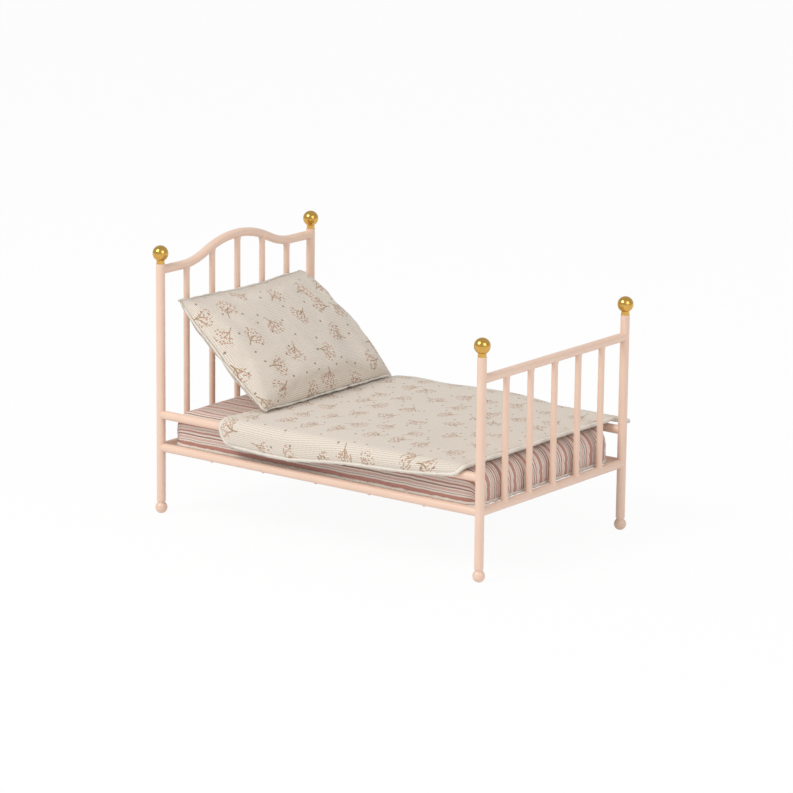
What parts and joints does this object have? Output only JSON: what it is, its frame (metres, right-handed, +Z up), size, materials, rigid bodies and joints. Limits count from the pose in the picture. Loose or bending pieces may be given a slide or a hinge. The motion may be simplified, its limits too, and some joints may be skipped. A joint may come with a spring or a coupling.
{
  "type": "miniature bed",
  "caption": "Dolls' house bed: painted metal rod frame with ball-topped posts, curved headboard, straight footboard, striped mattress, floral duvet and matching pillow.",
  "frame": {"origin": "on the floor, midway between the four posts", "axes": "+X towards the foot of the bed, +Y towards its right side as seen from the foot, +Z up"},
  "size_m": [0.18, 0.125, 0.1202],
  "materials": {
    "frame_paint": "semi-gloss powder pink paint",
    "finial_brass": "polished and lacquered",
    "mattress_ticking": "woven cotton ticking, cream and rose stripes",
    "floral_cotton": "matt plain-weave cotton with a small floral print"
  },
  "bodies": {
    "frame": {"head_post_left": "frame_paint", "head_finial_left": "finial_brass", "head_foot_ball_left": "frame_paint", "head_post_right": "frame_paint", "head_finial_right": "finial_brass", "head_foot_ball_right": "frame_paint", "foot_post_left": "frame_paint", "foot_finial_left": "finial_brass", "foot_foot_ball_left": "frame_paint", "foot_post_right": "frame_paint", "foot_finial_right": "finial_brass", "foot_foot_ball_right": "frame_paint", "upper_side_rail_left": "frame_paint", "lower_side_rail_left": "frame_paint", "upper_side_rail_right": "frame_paint", "lower_side_rail_right": "frame_paint", "head_top_rail": "frame_paint", "head_bottom_rail": "frame_paint", "foot_top_rail": "frame_paint", "foot_bottom_rail": "frame_paint", "head_spindle_1": "frame_paint", "head_spindle_2": "frame_paint", "head_spindle_3": "frame_paint", "head_spindle_4": "frame_paint", "head_spindle_5": "frame_paint", "foot_spindle_1": "frame_paint", "foot_spindle_2": "frame_paint", "foot_spindle_3": "frame_paint", "foot_spindle_4": "frame_paint", "foot_spindle_5": "frame_paint", "mattress_support_1": "frame_paint", "mattress_support_2": "frame_paint", "mattress_support_3": "frame_paint", "mattress_support_4": "frame_paint", "mattress_support_5": "frame_paint"},
    "mattress": {"mattress": "mattress_ticking"},
    "duvet": {"duvet": "floral_cotton"},
    "pillow": {"pillow": "floral_cotton"}
  },
  "joints": [
    {"name": "mattress_lift", "type": "slide", "parent": "frame", "child": "mattress", "axis": [0, 0, 1], "range_m": [0, 0.12]},
    {"name": "duvet_lift", "type": "slide", "parent": "mattress", "child": "duvet", "axis": [0, 0, 1], "range_m": [0, 0.1]},
    {"name": "pillow_lift", "type": "slide", "parent": "duvet", "child": "pillow", "axis": [0.3, 0, 0.9539], "range_m": [0, 0.1]}
  ]
}
